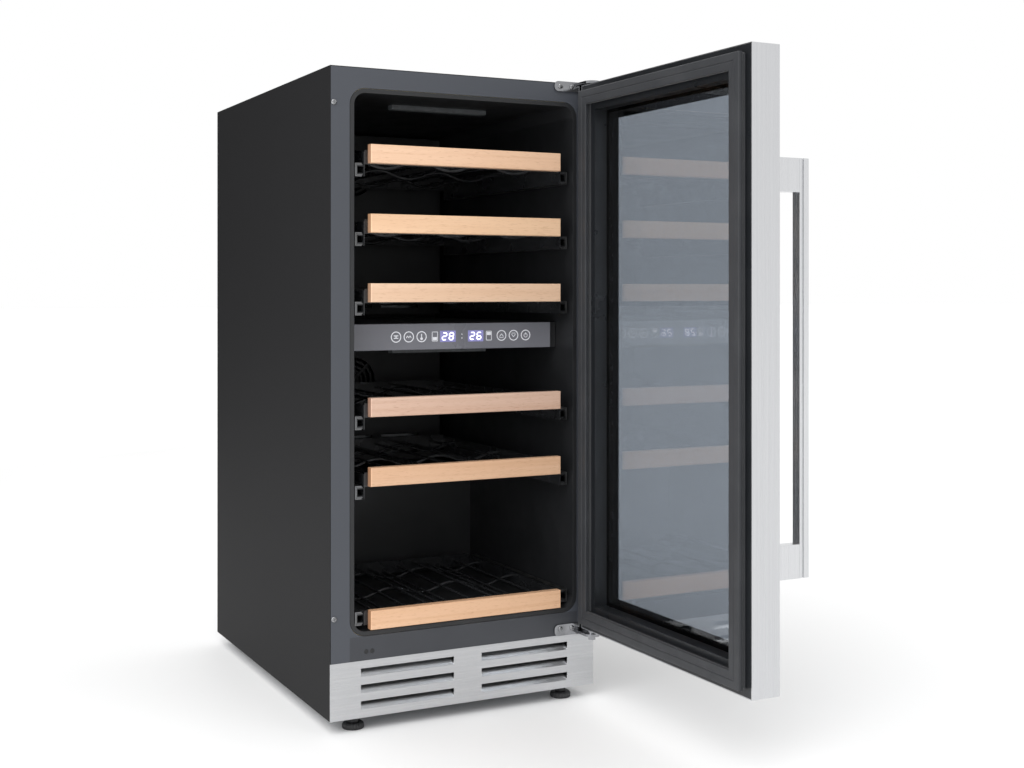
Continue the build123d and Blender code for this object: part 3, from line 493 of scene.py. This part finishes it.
def strip_plane(u, v, depth):
    """(x, z) in millimetres from the middle of the strip, standing out of its face."""
    return (u * MM, fascia_low.y - depth, strip_middle + v * MM)


def outline_ring(bm, x, z, outer, inner):
    """A flat ring, printed on the strip."""
    steps = 48
    loops = []
    for radius, depth in ((outer, 0.0), (outer, ink), (inner, ink), (inner, 0.0)):
        points = circle(x, z, radius, steps)
        loops.append([bm.verts.new(strip_plane(u, v, depth)) for u, v in points])
    for index in range(4):
        first, second = loops[index], loops[(index + 1) % 4]
        for i in range(steps):
            after = (i + 1) % steps
            bm.faces.new((first[i], first[after], second[after], second[i]))


def bar(bm, x0, z0, x1, z1, width):
    """A straight stroke between two points."""
    start, end = Vector((x0, z0)), Vector((x1, z1))
    side = (end - start).normalized().orthogonal() * width / 2
    outline = [tuple(start + side), tuple(end + side), tuple(end - side), tuple(start - side)]
    add_prism(bm, outline, strip_plane, ink)


def box_outline(bm, x, z, half_x, half_z, line):
    """A rectangle drawn with four strokes."""
    for side in (-1, 1):
        bar(bm, x - half_x, z + side * half_z, x + half_x, z + side * half_z, line)
        bar(bm, x + side * half_x, z - half_z + line / 2, x + side * half_x, z + half_z - line / 2, line)


key_places = (-82.8, -64.7, -46.4, 71.8, 90.2, 108.8)
key_radius = 7.3
key_line = 1.25
zone_places = ((-27.2, -1), (52.7, 1))
fine_line = 0.9


def level_icon(bm, x):
    """Two level lines with a dot between them."""
    half_width, rise = 3.2, 1.6
    for z in (-rise, rise):
        bar(bm, x - half_width, z, x + half_width, z, 1.2)
    add_prism(bm, circle(x, 0.0, 0.9), strip_plane, ink)


def wave_icon(bm, x):
    """A zigzag of four strokes."""
    step, height = 1.8, 1.5
    for index in range(4):
        start = x + (index - 2) * step
        rise = height if index % 2 == 0 else -height
        bar(bm, start, -rise, start + step, rise, fine_line)


def thermometer_icon(bm, x):
    """A stem over a round bulb."""
    bar(bm, x, -1.5, x, 3.8, 1.3)
    add_prism(bm, circle(x, -2.6, 1.8), strip_plane, ink)


def arrow_icon(bm, x, way):
    """An open arrowhead over a base line; way is 1 for up and -1 for down."""
    half_width, shoulder, tip, base = 3.0, -1.6 * way, 2.2 * way, -2.9 * way
    bar(bm, x - half_width, shoulder, x, tip, fine_line)
    bar(bm, x + half_width, shoulder, x, tip, fine_line)
    bar(bm, x - half_width, base, x + half_width, base, 0.8)


def power_icon(bm, x):
    """A ring with a stroke out of its top."""
    outline_ring(bm, x, -0.4, 2.9, 2.1)
    bar(bm, x, 0.4, x, 3.6, fine_line)


def zone_mark(bm, x, way):
    """A cabinet with its upper (way 1) or lower (way -1) half filled."""
    half_width, near, far = 3.0, 0.8 * way, 5.0 * way
    box_outline(bm, x, 0.0, 3.9, 6.0, 0.8)
    filled = [(x - half_width, near), (x + half_width, near), (x + half_width, far), (x - half_width, far)]
    add_prism(bm, filled, strip_plane, ink)


def make_icons():
    """Six ringed touch keys, two zone marks and the two dots between the displays."""
    bm = bmesh.new()
    for x in key_places:
        outline_ring(bm, x, 0.0, key_radius, key_radius - key_line)
    level_key, wave_key, thermometer_key, up_key, down_key, power_key = key_places
    level_icon(bm, level_key)
    wave_icon(bm, wave_key)
    thermometer_icon(bm, thermometer_key)
    arrow_icon(bm, up_key, 1)
    arrow_icon(bm, down_key, -1)
    power_icon(bm, power_key)
    for x, way in zone_places:
        zone_mark(bm, x, way)
    between = (window_low.x + window_high.x) / 2 / MM
    for z in (-2.6, 2.6):
        add_prism(bm, circle(between, z, 0.8, 20), strip_plane, ink)
    add_piece("touch_key_print", bm, icon_print, "cabinet")


segments_of = {"2": "abged", "6": "afgedc", "8": "abcdefg"}
digit_half_width = 2.9
digit_half_height = 4.6
digit_stroke = 1.7
digit_lean = 0.5
digit_offset = 5.0
window_pitch = 41.0


def add_digit(bm, symbol, x):
    """A leaning seven-segment figure made of six-sided bars."""
    corners = {
        "a": ((-1, 1), (1, 1)), "b": ((1, 1), (1, 0)), "c": ((1, 0), (1, -1)), "d": ((-1, -1), (1, -1)),
        "e": ((-1, 0), (-1, -1)), "f": ((-1, 1), (-1, 0)), "g": ((-1, 0), (1, 0)),
    }
    for name in segments_of[symbol]:
        (u0, v0), (u1, v1) = corners[name]
        start = Vector((x + u0 * digit_half_width + digit_lean * v0, v0 * digit_half_height))
        end = Vector((x + u1 * digit_half_width + digit_lean * v1, v1 * digit_half_height))
        along = (end - start).normalized()
        side = along.orthogonal() * digit_stroke / 2
        trim = along * digit_stroke * 0.6
        outline = [start + trim * 0.3, start + trim + side, end - trim + side,
                   end - trim * 0.3, end - trim - side, start + trim - side]
        add_prism(bm, [tuple(point) for point in outline], strip_plane, ink)


def make_digits():
    """Two figures in each display window."""
    bm = bmesh.new()
    left, right = window_low.x / MM, window_high.x / MM
    half_window = (right - left - window_pitch) / 2
    for value, x in (("28", left + half_window), ("26", right - half_window)):
        for symbol, offset in zip(value, (-digit_offset, digit_offset)):
            add_digit(bm, symbol, x + offset)
    add_piece("display_digits", bm, digit_glow, "cabinet")


# ---------------------------------------------------------------- screws
head_height = 1.8 * MM
turned_steps = 32


def welded(node):
    """A CAD node's mesh with its doubled points joined."""
    bm = bmesh.new()
    bm.from_mesh(nodes[node].data)
    bmesh.ops.remove_doubles(bm, verts=bm.verts, dist=weld_distance)
    bm.normal_update()
    return bm


def group_boxes(verts, edges_of):
    """The (low, high) box of each group of points that edges join, from the lowest up."""
    left = set(verts)
    boxes = []
    while left:
        queue = [left.pop()]
        points = []
        while queue:
            vert = queue.pop()
            points.append(vert.co.copy())
            for edge in edges_of(vert):
                other = edge.other_vert(vert)
                if other in left:
                    left.remove(other)
                    queue.append(other)
        low = Vector([min(point[axis] for point in points) for axis in range(3)])
        high = Vector([max(point[axis] for point in points) for axis in range(3)])
        boxes.append((low, high))
    return sorted(boxes, key=lambda pair: (round(pair[0].z, 4), round(pair[0].x, 4)))


def islands(node):
    """The (low, high) box of each separate solid in a CAD node."""
    bm = welded(node)
    boxes = group_boxes(bm.verts, lambda vert: vert.link_edges)
    bm.free()
    return boxes


def round_holes(node, radius):
    """The centre of each round hole of a radius that opens in a node's front face."""
    bm = welded(node)
    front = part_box(node)[0].y
    rims = {}
    for edge in bm.edges:
        level = all(abs(vert.co.y - front) < 0.05 * MM for vert in edge.verts)
        facing = [face.normal.y < -0.9 for face in edge.link_faces]
        if level and any(facing) and not all(facing):
            for vert in edge.verts:
                rims.setdefault(vert, []).append(edge)
    slack = 0.1 * MM
    holes = []
    for low, high in group_boxes(rims, rims.get):
        size = (high - low) / 2
        if abs(size.x - radius) < slack and abs(size.z - radius) < slack:
            holes.append((low + high) / 2)
    bm.free()
    return holes


def head_outline(radius, height, shank, length):
    """Pan head: crowned top, rounded rim, flat underside and a plain shank."""
    outline = [(shank, -length), (shank, 0.0), (radius, 0.0), (radius, 0.35 * height)]
    steps = 7
    for index in range(1, steps):
        turn = math.pi / 2 * index / steps
        outline.append((radius * (0.25 + 0.75 * math.cos(turn)), height * (0.35 + 0.65 * math.sin(turn))))
    return outline + [(0.2 * radius, height)]


def cut_crosses(piece, places, radius, depth):
    """Cut a cross-shaped driver recess into each head."""
    bm = bmesh.new()
    arm, half = 0.6 * radius, 0.14 * radius
    taper = 0.7
    for place in places:
        for reach_u, reach_v in ((arm, half), (half, arm)):
            corners = [(-reach_u, -reach_v), (reach_u, -reach_v), (reach_u, reach_v), (-reach_u, reach_v)]
            floor = [bm.verts.new(place(taper * u, taper * v, depth[0])) for u, v in corners]
            roof = [bm.verts.new(place(u, v, depth[1])) for u, v in corners]
            bm.faces.new(floor)
            bm.faces.new(roof)
            for index in range(4):
                after = (index + 1) % 4
                bm.faces.new((floor[index], floor[after], roof[after], roof[index]))
    bmesh.ops.recalc_face_normals(bm, faces=bm.faces)
    mesh = bpy.data.meshes.new("cutter")
    bm.to_mesh(mesh)
    bm.free()
    cutter = bpy.data.objects.new("cutter", mesh)
    scene.collection.objects.link(cutter)
    cut = piece.modifiers.new("cut", "BOOLEAN")
    cut.object = cutter
    cut.operation = "DIFFERENCE"
    cut.solver = "EXACT"
    cut.use_self = True
    shaped = bpy.data.meshes.new_from_object(piece.evaluated_get(bpy.context.evaluated_depsgraph_get()))
    piece.modifiers.clear()
    piece.data = shaped
    bpy.data.objects.remove(cutter)


def make_screws(name, centres, seat_direction, radius, height, shank, lengths):
    """Pan-head screws along Y; seat_direction is the way that the heads face."""
    bm = bmesh.new()
    places = []
    for (x, y, z), length in zip(centres, lengths):
        def place(u, v, rise, x=x, y=y, z=z):
            return (x + u, y + seat_direction * rise, z + v)
        add_lathe(bm, head_outline(radius, height, shank, length), place, turned_steps)
        places.append(place)
    screws = add_piece(name, bm, screw_steel, "cabinet")
    cut_crosses(screws, places, radius, (0.35 * height, 2.0 * height))
    return screws


def make_hole_plugs():
    """Low domed plugs in the spare hinge holes, the only round holes of their radius."""
    hole_radius = 2.4 * MM
    outline = head_outline(hole_radius * 1.25, 0.7 * MM, hole_radius * 0.9, 0.9 * MM)
    plugs = bmesh.new()
    for node in ("front_frame", "lower_fascia"):
        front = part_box(node)[0].y
        for centre in round_holes(node, hole_radius):
            def place(u, v, rise, centre=centre, front=front):
                return (centre.x + u, front - rise, centre.z + v)
            add_lathe(plugs, outline, place, turned_steps)
    add_piece("hole_plugs", plugs, divider_plastic, "cabinet")


def make_front_screws():
    """The CAD screws again, with crowned heads and driver recesses."""
    boxes = islands("cabinet_screws")
    centres = [((low.x + high.x) / 2, low.y + head_height, (low.z + high.z) / 2) for low, high in boxes]
    lengths = [high.y - low.y - head_height for low, high in boxes]
    radius = (boxes[0][1].x - boxes[0][0].x) / 2
    screws = make_screws("front_screws", centres, -1, radius, head_height, radius / 2, lengths)
    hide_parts("cabinet_screws")


def make_rear_screws():
    """Small screws down both sides of the rear sheet and of the grille."""
    radius, height, shank, length = 3.2 * MM, 1.1 * MM, 1.4 * MM, 0.8 * MM
    inset = 9.0 * MM
    rows = 3
    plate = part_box("rear_grille")[1].y
    centres = []
    for node in ("rear_panel", "rear_grille"):
        low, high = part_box(node)
        pitch = (high.z - low.z - 2 * inset) / (rows - 1)
        for row in range(rows):
            z = low.z + inset + row * pitch
            centres += [(low.x + inset, plate, z), (high.x - inset, plate, z)]
    make_screws("rear_screws", centres, 1, radius, height, shank, [length] * len(centres))


# ---------------------------------------------------------------- feet
def make_foot(place):
    """Ribbed pad, hexagon collar and a threaded stud, on the foot's own axis."""
    node = f"foot_{place}"
    low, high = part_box(node)
    x, y = (low.x + high.x) / 2, (low.y + high.y) / 2
    pad_radius = (high.x - low.x) / 2
    pad_height = 8.0 * MM
    collar_radius, collar_top, chamfer = 8.0 * MM, 14.0 * MM, 0.8 * MM
    crest, root, turns = 4.0 * MM, 3.3 * MM, 24
    bm = bmesh.new()

    def upright_place(u, v, height):
        return (x + u, y + v, low.z + height)

    pad = [(pad_radius * 0.86, 0.0), (pad_radius * 0.97, 0.5 * MM), (pad_radius, 1.6 * MM),
           (pad_radius, 5.4 * MM), (pad_radius * 0.95, 6.6 * MM), (pad_radius * 0.84, pad_height)]
    add_lathe(bm, pad, upright_place, 144, ribs=24, rib_depth=0.7 * MM)
    collar = [(collar_radius - chamfer, pad_height), (collar_radius, pad_height + chamfer),
              (collar_radius, collar_top - chamfer), (collar_radius - chamfer, collar_top)]
    add_lathe(bm, collar, upright_place, 6)
    thread = [(3.2 * MM, collar_top)]
    pitch = (high.z - low.z - collar_top) / turns
    for index in range(turns):
        thread.append((crest, collar_top + (index + 0.5) * pitch))
        thread.append((root, collar_top + (index + 1.0) * pitch))
    add_lathe(bm, thread, upright_place, turned_steps)
    body = f"levelling_foot_{place}"
    foot = add_piece(f"{body}_pad", bm, foot_plastic, body, 30.0)
    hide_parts(node)


make_seal()
make_glass_print()
make_icons()
make_digits()
make_front_screws()
make_rear_screws()
make_hole_plugs()
for place in foot_places:
    make_foot(place)
for name, width in (("door_inner_frame", 1.4 * MM), ("kick_plate", 0.3 * MM), ("door_frame", 0.35 * MM),
                    ("handle_bar", 0.4 * MM), ("zone_divider", 0.5 * MM), ("inner_liner", 1.2 * MM),
                    ("top_panel", 0.4 * MM), ("handle_posts", 0.4 * MM)):
    soften(name, width)


# ---------------------------------------------------------------- studio
def make_card(name, half_size, look):
    """A flat studio card in one look."""
    bm = bmesh.new()
    bmesh.ops.create_grid(bm, x_segments=1, y_segments=1, size=half_size)
    mesh = bpy.data.meshes.new(name)
    bm.to_mesh(mesh)
    bm.free()
    mesh.materials.append(look.material)
    card = bpy.data.objects.new(name, mesh)
    scene.collection.objects.link(card)
    return card


def make_floor():
    look = Look("floor_white", (238, 238, 238), 0.6)
    look.layer(look.span(look.noise(2.0), 0.4, 0.7, 0.0, 0.3), (234, 234, 234))
    make_card("floor", 40.0, look)


def make_flag():
    """A dark card behind and to the left that only gloss sees, so the side panel stays deep."""
    look = Look("flag_black", (10, 10, 11), 0.9)
    look.layer(look.noise(3.0), (16, 16, 17))
    flag = make_card("flag", 1.9, look)
    flag.location = (-1.25, 2.3, 0.6)
    flag.rotation_euler = (math.radians(90.0), 0.0, math.radians(24.0))
    flag.visible_camera = False
    flag.visible_diffuse = False
    flag.visible_transmission = False
    flag.visible_shadow = False


def make_light():
    """White surroundings, a broad key from the upper left and a weak light on the left side."""
    world = bpy.data.worlds.new("studio")
    world.use_nodes = True
    world.node_tree.nodes["Background"].inputs["Color"].default_value = (1.0, 1.0, 1.0, 1.0)
    world.node_tree.nodes["Background"].inputs["Strength"].default_value = 1.0
    scene.world = world
    key = bpy.data.lights.new("key", "SUN")
    key.energy = 1.4
    key.angle = math.radians(40.0)
    key_object = bpy.data.objects.new("key", key)
    key_object.rotation_euler = (math.radians(42.0), 0.0, math.radians(-38.0))
    scene.collection.objects.link(key_object)
    side = bpy.data.lights.new("side", "AREA")
    side.energy = 3.0
    side.shape = "RECTANGLE"
    side.size = 0.5
    side.size_y = 0.8
    side_object = bpy.data.objects.new("side", side)
    side_object.location = (-0.78, -0.6, 0.5)
    side_object.rotation_euler = (math.radians(90.0), 0.0, math.radians(-56.0))
    scene.collection.objects.link(side_object)


def make_camera():
    """Level camera to the left of the cabinet; the frame is shifted, so uprights stay upright."""
    data = bpy.data.cameras.new("camera")
    data.sensor_width = 36.0
    data.lens = 49.14
    data.shift_y = -0.0916
    camera = bpy.data.objects.new("camera", data)
    camera.location = (-0.7836, -1.9143, 0.5570)
    camera.rotation_euler = (math.radians(90.0), 0.0, math.radians(-27.166))
    scene.collection.objects.link(camera)
    scene.camera = camera


make_floor()
make_flag()
make_light()
make_camera()
scene.view_settings.view_transform = "Standard"
